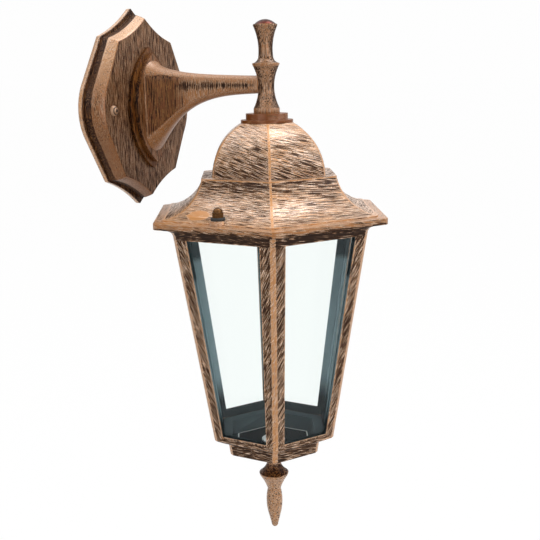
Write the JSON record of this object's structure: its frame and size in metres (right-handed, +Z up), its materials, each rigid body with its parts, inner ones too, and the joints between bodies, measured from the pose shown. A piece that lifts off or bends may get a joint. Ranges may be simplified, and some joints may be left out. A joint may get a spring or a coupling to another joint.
{
  "type": "garden lantern",
  "caption": "Hexagonal wall lantern for a garden: shaped back plate, flared arm with a baluster stem, bell roof, tapered glazed cage that drops off for the bulb, and turned finial.",
  "frame": {"origin": "middle of the wall plate's back, on the wall", "axes": "+Z up, +Y into the wall, the lantern stands out along -Y, X = 0 is its plane of symmetry"},
  "size_m": [0.1524, 0.2003, 0.3777],
  "materials": {
    "copper_painted_casting": "copper paint with a dark brushed patina",
    "dark_painted_plug": "satin",
    "zinc_plated_steel": "satin",
    "aged_brass": "satin",
    "bright_brass": "polished",
    "glazed_porcelain": "gloss",
    "black_moulding": "satin",
    "nylon_moulding": "matte",
    "black_rubber": "matte",
    "clear_glass": "polished"
  },
  "bodies": {
    "bracket_and_roof": {"wall_plate": "copper_painted_casting", "mounting_strap": "zinc_plated_steel", "plate_screws": "aged_brass", "earth_screw": "aged_brass", "terminal_block": "nylon_moulding", "terminal_screws": "zinc_plated_steel", "arm_bracket": "copper_painted_casting", "arm_bolts": "zinc_plated_steel", "stem_plug": "dark_painted_plug", "roof": "copper_painted_casting", "hanger_nipple": "zinc_plated_steel", "nipple_washer": "zinc_plated_steel", "nipple_nut": "zinc_plated_steel", "holder_cap": "black_moulding", "holder_body": "glazed_porcelain", "holder_shell": "bright_brass", "holder_contact": "bright_brass", "seal_washers": "black_rubber"},
    "nut_left": {"thumb_nut_left": "aged_brass"},
    "nut_right": {"thumb_nut_right": "aged_brass"},
    "cage": {"cage_frame": "copper_painted_casting", "cage_dish": "copper_painted_casting", "cage_studs": "zinc_plated_steel", "glass_pane_1": "clear_glass", "glass_pane_2": "clear_glass", "glass_pane_3": "clear_glass", "glass_pane_4": "clear_glass", "glass_pane_5": "clear_glass", "glass_pane_6": "clear_glass", "finial": "copper_painted_casting", "finial_stud": "zinc_plated_steel", "finial_washer": "zinc_plated_steel", "finial_nut": "zinc_plated_steel"}
  },
  "joints": [
    {"name": "nut_left_turn", "type": "hinge", "parent": "bracket_and_roof", "child": "nut_left", "pos_m": [-0.0674, -0.113, -0.0646], "axis": [0, 0, 1], "continuous": true},
    {"name": "nut_right_turn", "type": "hinge", "parent": "bracket_and_roof", "child": "nut_right", "pos_m": [0.0674, -0.113, -0.0646], "axis": [0, 0, 1], "continuous": true},
    {"name": "cage_drop", "type": "slide", "parent": "bracket_and_roof", "child": "cage", "axis": [0, 0, -1], "range_m": [0, 0.12]}
  ]
}
